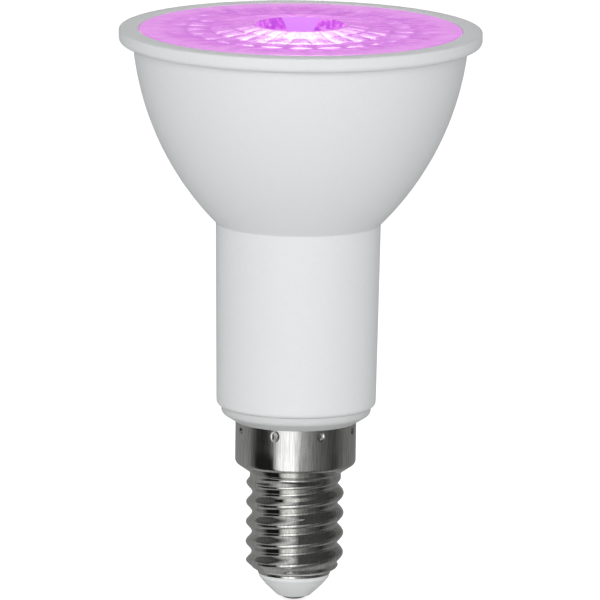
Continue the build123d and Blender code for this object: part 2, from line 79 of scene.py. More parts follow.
# Roundings of the white mouldings
MOULD_ROUND = 0.2
NECK_BASE_ROUND = 0.95
NECK_TOP_ROUND = 0.4
FLANGE_ROUND = 0.9
RIM_ROUND = 0.35
COLLAR_ROUND = 1.1
COLLAR_TOP_ROUND = 0.15

# White nose
NOSE_BORE_R = 0.75
NOSE_TIP_R = 2.3
NOSE_TIP_ROUND = 0.5
NOSE_SIDE_R = 4.0
NOSE_SIDE_Z = 2.2
NOSE_SIDE_ROUND = 2.0
NOSE_EDGE_Z = 3.3
NOSE_EDGE_ROUND = 0.6
NOSE_TOP_ROUND = 0.08
NOSE_WAIST_STEP = 0.5
NOSE_FLANGE_W = 0.6
NOSE_FLANGE_RISE = 0.54
NOSE_FLANGE_TOP = 1.8

# Screw cap
SHEET_T = 0.3
SKIRT_R = 8.46
SKIRT_STEP = 0.15
SKIRT_ROWS_IN_ROUND = 8
SHOULDER_FALL = 1.3
SHOULDER_ROUND = 0.85
CAP_NECK_ROUND = 0.7
CAP_NECK_RISE = 0.38
ROOT_R = 6.0
CREST_R = 6.85
PITCH = 2.822
FIRST_CREST_Z = 3.92
THREAD_START = 0.95
THREAD_END = 2.2
THREAD_STEP = 0.11
RUN_OUT_FROM = 3.0
RUN_OUT_TO = 1.4
NECK_FADE_FROM = 1.1
NECK_FADE_TO = 0.5
MOUTH_R = 4.93
MOUTH_BEAD = 0.14
MOUTH_BOTTOM = 0.04
MOUTH_TOP = 0.85
MOUTH_STEP = 0.05
MOUTH_FLAT = 0.2
MOUTH_CONE_H = 0.69
MOUTH_CONE_SLOPE = 1.11
MOUTH_CONE_BLEND = 0.25
DENT_COUNT = 8
DENT_ANGLE = 25.0
DENT_Z = 24.6
DENT_W = 1.1
DENT_H = 1.4
DENT_DEPTH = 0.45

# Lens
LENS_R = 22.5
LENS_SEAT_ROUND = 0.1
LENS_EDGE_ROUND = 0.3
BAND_R = 19.2
BAND_STEP = 0.14
BAND_FADE = 2.6
BAND_CREASE = 0.02
BAND_UNDERCUT = 0.2
BAND_SKIN = 0.5
LIP_R = 6.6
LIP_RISE = 0.75
RISE_W = 7.0
RISE_POWER = 1.3
WELL_R = 6.1
WELL_TAPER = 0.2
WELL_FLOOR_Z = 70.5
WELL_FLOOR_T = 2.0
WELL_FLOOR_ROUND = 0.4
CAVITY_R = 6.94
LENS_FOOT_Z = 62.5
LENS_FOOT_W = 0.9
LENS_FOOT_H = 1.4
FLUTES = 24
FLUTE_DEPTH = 0.12
COLUMNS_PER_FLUTE = 14
RINGS = 4
RING_DEPTH = 0.12
PILLOW_TOP = 0.82

# The photo's view: how far off and how high the camera is, what it looks at, and the width that it frames
CAMERA_FAR = 2000.0
CAMERA_RISE = 10.45
CAMERA_ROLL = 0.72
CAMERA_AIM = (0.37, 0.0, 42.6)
FRAME_W = 83.95
FILM_W = 36.0

# The studio, in metres: the lamp's middle, the ring of cards round it and the lights
MIDDLE = (0, 0, 0.045)
CARDS_R = 1.2
CARDS_STRENGTH = 1.65
CARD_BLEND = 0.05
GLARE_STRENGTH = 6.5
GLARE_CARD = [(-0.06, 0.9, 0.44), (0.06, 0.9, 0.44), (0.06, 0.75, 0.95), (-0.06, 0.75, 0.95)]
OVERHEAD_FLAG = [(-0.2, -0.2, 0.68), (0.2, -0.2, 0.68), (0.2, 0.2, 0.68), (-0.2, 0.2, 0.68)]
FLOOR = [(-6, -4, 0), (6, -4, 0), (6, 9, 0), (-6, 9, 0)]
WORLD_LEVEL = 0.5
FLOOR_GLOW = 0.7
WHITE = (1.0, 1.0, 1.0, 1.0)

# Rows of cards from the floor up: the height where each starts, and its shades by bearing in degrees
CARD_ROWS = [
    (-1.2, [(-180, 0.24), (-110, 0.22), (-80, 0.02), (-25, 0.5), (10, 0.1), (70, 0.1), (180, 0.24)]),
    (-1.15, [(-180, 0.24), (-45, 0.18), (-10, 0.24), (40, 0.05), (110, 0.14), (180, 0.24)]),
    (-0.85, [(-180, 0.15), (-105, 0.18), (-80, 0.01), (-45, 0.01), (-30, 0.8), (-5, 1.0), (10, 0.3),
             (40, 0.1), (80, 0.03), (110, 0.12), (180, 0.15)]),
    (0.22, [(-180, 0.13), (-40, 0.22), (-25, 0.08), (10, 0.03), (60, 0.03), (180, 0.13)]),
    (0.55, [(-180, 0.12), (-80, 0.03), (-40, 0.4), (-25, 0.45), (10, 0.05), (110, 0.03), (180, 0.12)]),
]

# Soft lights: name, place, size and power
LAMPS = [
    ("Key", (-0.15, -1.95, 0.35), 1.4, 25.0),
    ("Fill_left", (-1.6, -1.0, 0.2), 1.0, 3.0),
    ("Fill_right", (1.6, -1.0, 0.2), 1.0, 4.0),
    ("Fill_behind", (0.2, 1.9, 0.05), 1.0, 18.0),
]


def linear(code):
    """An sRGB hex colour as linear red, green, blue and alpha."""
    parts = [int(code[i:i + 2], 16) / 255 for i in (1, 3, 5)]
    return [c / 12.92 if c <= 0.04045 else ((c + 0.055) / 1.055) ** 2.4 for c in parts] + [1.0]


def node(tree, kind, links=None, **settings):
    """Adds a node with its settings, and sets or links its inputs."""
    made = tree.nodes.new(kind)
    for name, value in settings.items():
        setattr(made, name, value)
    for socket, value in (links or {}).items():
        if isinstance(value, bpy.types.NodeSocket):
            tree.links.new(value, made.inputs[socket])
        else:
            made.inputs[socket].default_value = value
    return made


def placed(name, data):
    """A new object in the scene, at the origin."""
    made = bpy.data.objects.new(name, data)
    bpy.context.collection.objects.link(made)
    return made


def piece(name, mesh, material, stands_for):
    """A finished piece of the lamp, which stands for its CAD node."""
    made = placed(name, mesh)
    mesh.materials.clear()
    mesh.materials.append(material)
    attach(made, "root")
    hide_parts(stands_for)
    return made


def rounded(corners, steps=6):
    """A closed outline from corners (radius, height, rounding), each rounded by an arc of its own size."""
    line = []
    for i, (r, z, size) in enumerate(corners):
        here = Vector((r, z))
        before = Vector(corners[i - 1][:2]) - here
        after = Vector(corners[(i + 1) % len(corners)][:2]) - here
        if not size:
            line.append(here)
            continue
        half = before.angle(after) / 2
        reach = min(size / math.tan(half), 0.49 * before.length, 0.49 * after.length)
        start = here + before.normalized() * reach
        end = here + after.normalized() * reach
        for k in range(steps + 1):
            t = k / steps
            line.append(start.lerp(here, t).lerp(here.lerp(end, t), t))
    return line


def lathe(line, columns=192, crease=40):
    """A mesh turned from a closed outline round the lamp's axis; only its sharp corners stay creased."""
    shape = bmesh.new()
    rings = []
    for i in range(columns):
        angle = math.tau * i / columns
        across = Vector((math.cos(angle), math.sin(angle), 0))
        rings.append([shape.verts.new((across * p[0] + Vector((0, 0, p[1]))) * MM) for p in line])
    for i in range(columns):
        for j in range(len(line)):
            k = (j + 1) % len(line)
            shape.faces.new((rings[i - 1][j], rings[i][j], rings[i][k], rings[i - 1][k]))
    return settled(shape, crease)


def settled(shape, crease):
    """Closes seams and poles, turns every face outwards and shades it smooth up to a crease angle."""
    bmesh.ops.remove_doubles(shape, verts=shape.verts, dist=0.5e-6)
    bmesh.ops.dissolve_degenerate(shape, edges=shape.edges, dist=0.5e-6)
    bmesh.ops.recalc_face_normals(shape, faces=shape.faces)
    mesh = bpy.data.meshes.new("turned")
    shape.to_mesh(mesh)
    shape.free()
    mesh.shade_smooth()
    mesh.set_sharp_from_angle(angle=math.radians(crease))
    return mesh


def spaced(start, end, step):
    """Places from start to end in even steps of about one size."""
    count = max(1, round(abs(end - start) / step))
    return [start + (end - start) * i / count for i in range(count + 1)]


def baked(base, tree, values):
    """Runs a geometry tree on a mesh with its named inputs set, and keeps the result as a plain mesh."""
    carrier = placed("carrier", base)
    modifier = carrier.modifiers.new("shape", "NODES")
    modifier.node_group = tree
    for item in tree.interface.items_tree:
        if item.item_type == "SOCKET" and item.in_out == "INPUT" and item.name in values:
            modifier[item.identifier] = values[item.name]
    bpy.context.view_layer.update()
    done = carrier.evaluated_get(bpy.context.evaluated_depsgraph_get())
    mesh = bpy.data.meshes.new_from_object(done)
    carrier.modifiers.remove(modifier)
    bpy.data.objects.remove(carrier)
    return mesh


def geometry_tree(name, inputs):
    """A geometry tree with named inputs, and the node that gives them."""
    tree = bpy.data.node_groups.new(name, "GeometryNodeTree")
    tree.interface.new_socket("Geometry", in_out="INPUT", socket_type="NodeSocketGeometry")
    for label, kind in inputs.items():
        tree.interface.new_socket(label, in_out="INPUT", socket_type=kind)
    tree.interface.new_socket("Geometry", in_out="OUTPUT", socket_type="NodeSocketGeometry")
    return tree, node(tree, "NodeGroupInput")


def finished(tree, shape, material):
    """Ends a geometry tree: real geometry with its material."""
    real = node(tree, "GeometryNodeRealizeInstances", {0: shape}).outputs[0]
    painted = node(tree, "GeometryNodeSetMaterial", {"Geometry": real, "Material": material}).outputs[0]
    node(tree, "NodeGroupOutput", {"Geometry": painted})


def bare_material(name):
    """A new material with an empty tree."""
    material = bpy.data.materials.new(name)
    material.use_nodes = True
    material.node_tree.nodes.clear()
    return material, material.node_tree


def shader_tree(name):
    """A new material's tree, its main shader and the lamp's own coordinates in metres."""
    material, tree = bare_material(name)
    shader = node(tree, "ShaderNodeBsdfPrincipled")
    node(tree, "ShaderNodeOutputMaterial", {"Surface": shader.outputs[0]})
    place = node(tree, "ShaderNodeTexCoord").outputs["Object"]
    return material, tree, shader, place


def ramp(mixer, stops):
    """Sets a colour ramp's stops from (place, linear colour) pairs."""
    marks = mixer.color_ramp.elements
    while len(marks) < len(stops):
        marks.new(1.0)
    for mark, (place, colour) in zip(marks, stops):
        mark.position = place
        mark.color = colour


def grained(name, low, high, grain_mm, roughness, metallic=0.0, bump_mm=0.0, gloss=0.5):
    """A finish whose colour wanders between two close tones, over grain of a real size."""
    material, tree, shader, place = shader_tree(name)
    grain = node(tree, "ShaderNodeTexNoise", {"Vector": place, "Scale": 1 / (grain_mm * MM), "Detail": 3.0})
    tone = node(tree, "ShaderNodeMix", {0: grain.outputs["Fac"], 6: linear(low), 7: linear(high)},
                data_type="RGBA")
    tree.links.new(tone.outputs[2], shader.inputs["Base Color"])
    shader.inputs["Roughness"].default_value = roughness
    shader.inputs["Metallic"].default_value = metallic
    shader.inputs["Specular IOR Level"].default_value = gloss
    if bump_mm:
        relief = node(tree, "ShaderNodeBump", {"Height": grain.outputs["Fac"], "Distance": bump_mm * MM})
        tree.links.new(relief.outputs["Normal"], shader.inputs["Normal"])
    return material


def drawn_nickel():
    """Nickel-plated sheet, deep drawn and rolled: a bright mirror on the thread, and on the skirt a softer
    one with fine lines up and down it from the drawing die."""
    line_w = 0.22
    line_depth = 0.006
    line_stretch = 0.06
    thread_rough = 0.02
    skirt_rough = 0.22
    dent_rough = 0.1
    dent_edge = 0.3
    line_rough = 0.04
    dull_from = SHOULDER_Z + 0.6
    dull_to = SHOULDER_Z + 3.2
    line_fade = 0.5
    material, tree, shader, place = shader_tree("Nickel plate, drawn sheet")
    shader.inputs["Metallic"].default_value = 1.0
    stretched = node(tree, "ShaderNodeVectorMath", {0: place, 1: (1.0, 1.0, line_stretch)},
                     operation="MULTIPLY").outputs[0]
    lines = node(tree, "ShaderNodeTexNoise", {"Vector": stretched, "Scale": 1 / (line_w * MM),
                                             "Detail": 3.0, "Roughness": 0.65}).outputs["Fac"]
    tone = node(tree, "ShaderNodeValToRGB", {0: lines})
    ramp(tone, [(0.32, linear("#BDBDBA")), (0.5, linear("#D2D2CF")), (0.68, linear("#E4E4E1"))])
    height = node(tree, "ShaderNodeSeparateXYZ", {0: place}).outputs[2]
    worn = node(tree, "ShaderNodeMapRange", {"Value": height, "From Min": dull_from * MM,
                                             "From Max": dull_to * MM,
                                             "To Min": thread_rough, "To Max": skirt_rough},
                interpolation_type="SMOOTHSTEP").outputs[0]
    punched = node(tree, "ShaderNodeAttribute", attribute_name="punched").outputs["Fac"]
    dulled = node(tree, "ShaderNodeMapRange", {"Value": punched, "From Max": dent_edge, "To Min": worn,
                                               "To Max": dent_rough}).outputs[0]
    sheen = node(tree, "ShaderNodeMath", {0: lines, 1: line_rough, 2: dulled}, operation="MULTIPLY_ADD")
    # The die's lines are left on the skirt and rolled away below it
    drawn = node(tree, "ShaderNodeMapRange", {"Value": height, "From Min": (SHOULDER_Z - line_fade) * MM,
                                              "From Max": (SHOULDER_Z + line_fade) * MM}).outputs[0]
    relief = node(tree, "ShaderNodeBump", {"Height": lines, "Distance": line_depth * MM, "Strength": drawn})
    tree.links.new(tone.outputs[0], shader.inputs["Base Color"])
    tree.links.new(sheen.outputs[0], shader.inputs["Roughness"])
    tree.links.new(relief.outputs[0], shader.inputs["Normal"])
    return material


def lit_acrylic():
    """Clear moulded acrylic, lit from behind by red and blue LEDs: pink all through, with pale streaks along
    the flutes, painted shade that deepens the pink in the hollows between the pillows, a well painted darker
    purple as shade with a lilac window of painted light, and a gloss on top."""
    streak_l = 5.0
    streak_depth = 0.09
    streaks_per_turn = FLUTES / 3.0
    speck = 0.9
    hollow_painted_shade = 0.65
    ring_from = 18.6
    ring_to = 20.5
    ring_glow = 0.55
    window_half_w = 2.6
    window_lean = 0.5
    window_blend = 0.25
    wall_from = 0.05
    wall_to = 0.15
    floor_glow_h = 2.5
    floor_glow = 0.75
    material, tree, shader, place = shader_tree("Acrylic lens, injection moulded, lit")
    spot = node(tree, "ShaderNodeSeparateXYZ", {0: place})
    x, z = spot.outputs[0], spot.outputs[2]
    flat = node(tree, "ShaderNodeVectorMath", {0: place, 1: (1.0, 1.0, 0.0)}, operation="MULTIPLY").outputs[0]
    radius = node(tree, "ShaderNodeVectorMath", {0: flat}, operation="LENGTH").outputs["Value"]
    # Streaks: long along the radius, narrow round the lens
    along = node(tree, "ShaderNodeMath", {0: radius, 1: 1 / (streak_l * MM)}, operation="MULTIPLY").outputs[0]
    bearing = node(tree, "ShaderNodeVectorMath", {0: flat}, operation="NORMALIZE").outputs[0]
    round_it = node(tree, "ShaderNodeVectorMath", {0: bearing, "Scale": streaks_per_turn},
                    operation="SCALE").outputs[0]
    outwards = node(tree, "ShaderNodeCombineXYZ", {2: along}).outputs[0]
    ray = node(tree, "ShaderNodeVectorMath", {0: round_it, 1: outwards}, operation="ADD").outputs[0]
    streaks = node(tree, "ShaderNodeTexNoise", {"Vector": ray, "Scale": 1.0, "Detail": 6.0,
                                               "Roughness": 0.68}).outputs["Fac"]
    pink = node(tree, "ShaderNodeValToRGB", {0: streaks})
    ramp(pink, [(0.30, linear("#BC5CC8")), (0.46, linear("#D272D8")), (0.58, linear("#DD86E0")),
                (0.72, linear("#EEA8EE"))])
    # Painted shade: between the pillows the pink is darker, as shade in the hollows, and the plain outer ring
    # glows paler
    hollow = node(tree, "ShaderNodeAttribute", attribute_name="hollow").outputs["Fac"]
    hollow_painted_shade_share = node(tree, "ShaderNodeMath", {0: hollow, 1: hollow_painted_shade}, operation="MULTIPLY").outputs[0]
    shaded = node(tree, "ShaderNodeMix", {0: hollow_painted_shade_share, 6: pink.outputs[0], 7: linear("#B450C6")},
                  data_type="RGBA").outputs[2]
    ring = node(tree, "ShaderNodeMapRange", {"Value": radius, "From Min": ring_from * MM,
                                             "From Max": ring_to * MM, "To Max": ring_glow},
                interpolation_type="SMOOTHSTEP").outputs[0]
    body = node(tree, "ShaderNodeMix", {0: ring, 6: shaded, 7: linear("#E298E5")},
                data_type="RGBA").outputs[2]
    # The well's wall is speckled purple, darker as painted shade, with a lilac window of painted light at its
    # back and front, wider towards the top
    across = node(tree, "ShaderNodeMath", {0: x}, operation="ABSOLUTE").outputs[0]
    slant = node(tree, "ShaderNodeMath", {0: z, 1: -window_lean, 2: across},
                 operation="MULTIPLY_ADD").outputs[0]
    edge = (window_half_w - window_lean * (RIM_Z + LIP_RISE)) * MM
    painted_light_window = node(tree, "ShaderNodeMapRange", {"Value": slant, "From Min": edge + window_blend * MM,
                                               "From Max": edge},
                  interpolation_type="SMOOTHSTEP").outputs[0]
    specks = node(tree, "ShaderNodeTexNoise", {"Vector": place, "Scale": 1 / (speck * MM), "Detail": 2.0})
    purple = node(tree, "ShaderNodeValToRGB", {0: specks.outputs["Fac"]})
    ramp(purple, [(0.35, linear("#A43AC0")), (0.5, linear("#C452D4")), (0.62, linear("#E08EE2"))])
    wall = node(tree, "ShaderNodeMix", {0: painted_light_window, 6: purple.outputs[0], 7: linear("#D690F0")},
                data_type="RGBA").outputs[2]
    depth = node(tree, "ShaderNodeMapRange", {"Value": z, "From Min": (WELL_FLOOR_Z + floor_glow_h) * MM,
                                              "From Max": WELL_FLOOR_Z * MM, "To Max": floor_glow}).outputs[0]
    well = node(tree, "ShaderNodeMix", {0: depth, 6: wall, 7: linear("#E489F0")}, data_type="RGBA").outputs[2]
    inside = node(tree, "ShaderNodeMapRange", {"Value": radius, "From Min": (WELL_R + wall_to) * MM,
                                               "From Max": (WELL_R + wall_from) * MM}).outputs[0]
    glow = node(tree, "ShaderNodeMix", {0: inside, 6: body, 7: well}, data_type="RGBA").outputs[2]
    tree.links.new(glow, shader.inputs["Emission Color"])
    relief = node(tree, "ShaderNodeBump", {"Height": streaks, "Distance": streak_depth * MM})
    tree.links.new(relief.outputs[0], shader.inputs["Normal"])
    shader.inputs["Base Color"].default_value = linear("#8A4A9A")
    shader.inputs["Emission Strength"].default_value = 0.8
    shader.inputs["Roughness"].default_value = 0.12
    shader.inputs["IOR"].default_value = 1.49
    return material


def bowl_r(height, inset=0.0):
    """The bowl's radius at a height, or that of its inner face."""
    low = Vector((NECK_TOP_R, BOWL_BASE_Z))
    chord = Vector((BOWL_TOP_R, FLANGE_Z)) - low
    inwards = Vector((-chord.y, chord.x)).normalized()
    centre = low + chord / 2 + inwards * math.sqrt(BOWL_ARC_R**2 - chord.length_squared / 4)
    return centre.x + math.sqrt((BOWL_ARC_R - inset) ** 2 - (height - centre.y) ** 2)


def housing_mesh():
    """Bowl, neck and rim as one moulding, with the small roundings of a steel mould."""
    bowl = [(bowl_r(z), z, 0) for z in spaced(BOWL_BASE_Z, FLANGE_Z, BOWL_STEP)[1:-1]]
    core = [(bowl_r(z, BOWL_WALL), z, 0) for z in (LEDGE_Z, CORE_BASE_Z)]
    neck = [(NECK_BORE_R, NECK_BASE_Z, MOULD_ROUND), (NECK_BASE_R, NECK_BASE_Z, NECK_BASE_ROUND),
            (NECK_TOP_R, BOWL_BASE_Z, NECK_TOP_ROUND)]
    rim = [(BOWL_TOP_R, FLANGE_Z, FLANGE_ROUND), (RIM_R, FLANGE_Z, FLANGE_ROUND), (RIM_R, RIM_Z, RIM_ROUND),
           (SEAT_R, RIM_Z, MOULD_ROUND), (SEAT_R, LEDGE_Z, 0)]
    bore = [(NECK_TOP_R - NECK_WALL, BORE_TOP_Z, 0)]
    return lathe(rounded(neck + bowl + rim + core + bore))


def plug_mesh():
    """The stepped collar with its two spigots."""
    return lathe(rounded([
        (PLUG_BORE_R, CAP_SPIGOT_Z, 0), (CAP_SPIGOT_R, CAP_SPIGOT_Z, MOULD_ROUND),
        (CAP_SPIGOT_R, SKIRT_TOP_Z, 0), (COLLAR_BASE_R, SKIRT_TOP_Z, MOULD_ROUND),
        (COLLAR_R, COLLAR_Z, COLLAR_ROUND), (COLLAR_R, NECK_BASE_Z, COLLAR_TOP_ROUND),
        (PLUG_SPIGOT_R, NECK_BASE_Z, 0), (PLUG_SPIGOT_R, PLUG_TOP_Z, MOULD_ROUND),
        (PLUG_SPIGOT_BORE_R, PLUG_TOP_Z, MOULD_ROUND), (PLUG_SPIGOT_BORE_R, PLUG_FLOOR_Z, 0),
        (PLUG_BORE_R, PLUG_FLOOR_Z, 0)]))


def nose_mesh():
    """The white nose, drawn in slightly towards the contact, with a flange behind the cap's mouth."""
    waist = MOUTH_R - NOSE_WAIST_STEP
    flange_r = waist + NOSE_FLANGE_W
    top = MOUTH_Z + NOSE_FLANGE_TOP
    return lathe(rounded([
        (NOSE_BORE_R, CONTACT_Z, 0), (NOSE_TIP_R, CONTACT_Z, NOSE_TIP_ROUND),
        (NOSE_SIDE_R, NOSE_SIDE_Z, NOSE_SIDE_ROUND), (MOUTH_R, NOSE_EDGE_Z, NOSE_EDGE_ROUND),
        (MOUTH_R, MOUTH_Z, NOSE_TOP_ROUND), (waist, MOUTH_Z, 0), (flange_r, MOUTH_Z + NOSE_FLANGE_RISE, 0),
        (flange_r, top, 0), (NOSE_BORE_R, top, 0)]), columns=96)


def cap_blank():
    """The pressed cap before its thread is rolled: skirt, shoulder and core, one sheet thick."""
    # The mouth is a rolled bead, and a cone widens from it to the core
    mouth = [(MOUTH_R + max(MOUTH_BEAD, (ROOT_R - MOUTH_R) * (h - MOUTH_FLAT) / MOUTH_CONE_H), MOUTH_Z + h, 0)
             for h in spaced(MOUTH_BOTTOM, MOUTH_TOP, MOUTH_STEP)]
    core = [(ROOT_R, z, 0) for z in spaced(MOUTH_Z + THREAD_START, SHOULDER_Z - THREAD_END, THREAD_STEP)]
    shoulder = [(ROOT_R, SHOULDER_Z - SHOULDER_FALL, CAP_NECK_ROUND), (SKIRT_R, SHOULDER_Z, SHOULDER_ROUND)]
    skirt = [(SKIRT_R, z, 0) for z in spaced(SHOULDER_Z, SKIRT_TOP_Z, SKIRT_STEP)[SKIRT_ROWS_IN_ROUND:]]
    lead_in = [(MOUTH_R, MOUTH_Z - 1, 0), (MOUTH_R, MOUTH_Z, 0)]
    outside = rounded(lead_in + mouth + core + shoulder + skirt, steps=8)[1:]
    # The inner face follows the outer one plainly, a sheet's thickness behind the core and the skirt
    inside = [Vector((r - SHEET_T, z)) for r, z in (
        (SKIRT_R, SKIRT_TOP_Z), (SKIRT_R, SHOULDER_Z + 0.3), (ROOT_R, SHOULDER_Z - 1.1),
        (ROOT_R, MOUTH_Z + 0.9), (MOUTH_R - 0.1, MOUTH_Z))]
    mesh = lathe(outside + inside, columns=336, crease=50)
    flag = mesh.attributes.new("rolled", "FLOAT", "POINT")
    for vertex, item in zip(mesh.vertices, flag.data):
        item.value = float(math.hypot(vertex.co.x, vertex.co.y) > (ROOT_R - SHEET_T / 2) * MM)
    return mesh


def rolled_cap(material):
    """Rolls the thread into the blank and punches its ring of dents, by a rule in angle and height."""
    tree, start = geometry_tree("Rolled thread and dents", {
        "Pitch": "NodeSocketFloat", "Ridge depth": "NodeSocketFloat", "Crest height": "NodeSocketFloat",
        "Dents": "NodeSocketFloat", "Dent depth": "NodeSocketFloat", "Dent height": "NodeSocketFloat",
        "Plate": "NodeSocketMaterial"})
    given = start.outputs
    place = node(tree, "GeometryNodeInputPosition").outputs[0]
    spot = node(tree, "ShaderNodeSeparateXYZ", {0: place})
    x, y, z = spot.outputs
    angle = node(tree, "ShaderNodeMath", {0: y, 1: x}, operation="ARCTAN2").outputs[0]
    # The thread: a wave in height, which falls one pitch behind with each turn
    turns = node(tree, "ShaderNodeMath", {0: angle, 1: math.tau}, operation="DIVIDE").outputs[0]
    above = node(tree, "ShaderNodeMath", {0: z, 1: given["Crest height"]}, operation="SUBTRACT").outputs[0]
    pitches = node(tree, "ShaderNodeMath", {0: above, 1: given["Pitch"]}, operation="DIVIDE").outputs[0]
    phase = node(tree, "ShaderNodeMath", {0: pitches, 1: turns}, operation="SUBTRACT").outputs[0]
    swing = node(tree, "ShaderNodeMath", {0: phase, 1: math.tau}, operation="MULTIPLY").outputs[0]
    wave = node(tree, "ShaderNodeMath", {0: swing}, operation="COSINE").outputs[0]
    ridge = node(tree, "ShaderNodeMath", {0: wave, 1: 0.5, 2: 0.5}, operation="MULTIPLY_ADD").outputs[0]
    raised = node(tree, "ShaderNodeMath", {0: ridge, 1: given["Ridge depth"]},
                  operation="MULTIPLY").outputs[0]
    # Under the shoulder the thread runs out into a short plain neck
    fade = node(tree, "ShaderNodeMapRange", {"Value": z, "From Min": (SHOULDER_Z - RUN_OUT_TO) * MM,
                                             "From Max": (SHOULDER_Z - RUN_OUT_FROM) * MM},
                interpolation_type="SMOOTHSTEP").outputs[0]
    neck = node(tree, "ShaderNodeMapRange", {"Value": z, "From Min": (SHOULDER_Z - NECK_FADE_FROM) * MM,
                                             "From Max": (SHOULDER_Z - NECK_FADE_TO) * MM,
                                             "To Min": CAP_NECK_RISE * MM, "To Max": 0.0}).outputs[0]
    height = node(tree, "ShaderNodeMix", {0: fade, 2: neck, 3: raised}).outputs[0]
    # The cone at the mouth trims the thread's first turn
    cone_start = (MOUTH_R - ROOT_R - MOUTH_CONE_SLOPE * MOUTH_Z) * MM
    cone = node(tree, "ShaderNodeMath", {0: z, 1: MOUTH_CONE_SLOPE, 2: cone_start},
                operation="MULTIPLY_ADD").outputs[0]
    room = node(tree, "ShaderNodeMath", {0: cone, 1: 0.0}, operation="MAXIMUM").outputs[0]
    trimmed = node(tree, "ShaderNodeMath", {0: height, 1: room, 2: MOUTH_CONE_BLEND * MM},
                   operation="SMOOTH_MIN").outputs[0]
    # The dents: the same oval pit at even angles round the skirt
    sector = node(tree, "ShaderNodeMath", {0: math.tau, 1: given["Dents"]}, operation="DIVIDE").outputs[0]
    half = node(tree, "ShaderNodeMath", {0: sector, 1: 0.5}, operation="MULTIPLY").outputs[0]
    back = node(tree, "ShaderNodeMath", {0: half, 1: -1.0}, operation="MULTIPLY").outputs[0]
    from_first = node(tree, "ShaderNodeMath", {0: angle, 1: math.radians(DENT_ANGLE)},
                      operation="SUBTRACT").outputs[0]
    apart = node(tree, "ShaderNodeMath", {0: from_first, 1: half, 2: back}, operation="WRAP").outputs[0]
    across = node(tree, "ShaderNodeMath", {0: apart, 1: SKIRT_R / (DENT_W / 2)},
                  operation="MULTIPLY").outputs[0]
    over = node(tree, "ShaderNodeMath", {0: z, 1: given["Dent height"]}, operation="SUBTRACT").outputs[0]
    up = node(tree, "ShaderNodeMath", {0: over, 1: 2 / (DENT_H * MM)}, operation="MULTIPLY").outputs[0]
    spread = node(tree, "ShaderNodeCombineXYZ", {0: across, 1: up}).outputs[0]
    away = node(tree, "ShaderNodeVectorMath", {0: spread}, operation="LENGTH").outputs["Value"]
    pit = node(tree, "ShaderNodeMapRange", {"Value": away, "From Min": 1.0, "From Max": 0.1},
               interpolation_type="SMOOTHSTEP").outputs[0]
    sunk = node(tree, "ShaderNodeMath", {0: pit, 1: given["Dent depth"]}, operation="MULTIPLY").outputs[0]
    # Both move the outer face along its radius, and the dents are marked for the plate's finish
    change = node(tree, "ShaderNodeMath", {0: trimmed, 1: sunk}, operation="SUBTRACT").outputs[0]
    rolled = node(tree, "GeometryNodeInputNamedAttribute", {"Name": "rolled"}, data_type="FLOAT").outputs[0]
    shift = node(tree, "ShaderNodeMath", {0: change, 1: rolled}, operation="MULTIPLY").outputs[0]
    flat = node(tree, "ShaderNodeVectorMath", {0: place, 1: (1.0, 1.0, 0.0)}, operation="MULTIPLY").outputs[0]
    outwards = node(tree, "ShaderNodeVectorMath", {0: flat}, operation="NORMALIZE").outputs[0]
    offset = node(tree, "ShaderNodeVectorMath", {0: outwards, "Scale": shift}, operation="SCALE").outputs[0]
    moved = node(tree, "GeometryNodeSetPosition",
                 {"Geometry": given["Geometry"], "Offset": offset}).outputs[0]
    marked = node(tree, "GeometryNodeStoreNamedAttribute",
                  {"Geometry": moved, "Name": "punched", "Value": pit},
                  data_type="FLOAT", domain="POINT").outputs[0]
    finished(tree, marked, given["Plate"])
    return baked(cap_blank(), tree, {
        "Pitch": PITCH * MM, "Ridge depth": (CREST_R - ROOT_R) * MM, "Crest height": FIRST_CREST_Z * MM,
        "Dents": float(DENT_COUNT), "Dent depth": DENT_DEPTH * MM, "Dent height": DENT_Z * MM,
        "Plate": material})


def front_z(radius):
    """The height of the lens's front: flush at its edge, and a little higher at the well's lip."""
    return RIM_Z + LIP_RISE * max(0.0, 1 - (radius - LIP_R) / RISE_W) ** RISE_POWER


def lens_blank():
    """The lens with a smooth front that rises a little to the well's lip."""
    foot_r = CAVITY_R + LENS_FOOT_W
    cavity_top = WELL_FLOOR_Z - WELL_FLOOR_T
    back = [(CAVITY_R, LENS_FOOT_Z, 0), (foot_r, LENS_FOOT_Z, MOULD_ROUND),
            (foot_r, LENS_FOOT_Z + LENS_FOOT_H, 0), (BAND_R - BAND_UNDERCUT, LENS_SEAT_Z, 0),
            (LENS_R, LENS_SEAT_Z, LENS_SEAT_ROUND), (LENS_R, RIM_Z, LENS_EDGE_ROUND)]
    band = [(r, front_z(r), 0) for r in spaced(BAND_R, LIP_R, BAND_STEP)]
    outer_edge = [(BAND_R + BAND_CREASE, front_z(BAND_R), 0)]
    inner_edge = [(LIP_R - BAND_CREASE, front_z(LIP_R), 0)]
    well = [(WELL_R, front_z(LIP_R), MOULD_ROUND), (WELL_R - WELL_TAPER, WELL_FLOOR_Z, WELL_FLOOR_ROUND),
            (0, WELL_FLOOR_Z, 0), (0, cavity_top, 0), (CAVITY_R, cavity_top, 0)]
    line = rounded(back + outer_edge + band + inner_edge + well)
    mesh = lathe(line, columns=FLUTES * COLUMNS_PER_FLUTE, crease=35)
    half_crease = BAND_CREASE / 2
    flag = mesh.attributes.new("band", "FLOAT", "POINT")
    for vertex, item in zip(mesh.vertices, flag.data):
        r = math.hypot(vertex.co.x, vertex.co.y) / MM
        on_band = LIP_R - half_crease < r < BAND_R + half_crease
        item.value = float(on_band and vertex.co.z > (RIM_Z - BAND_SKIN) * MM)
    return mesh


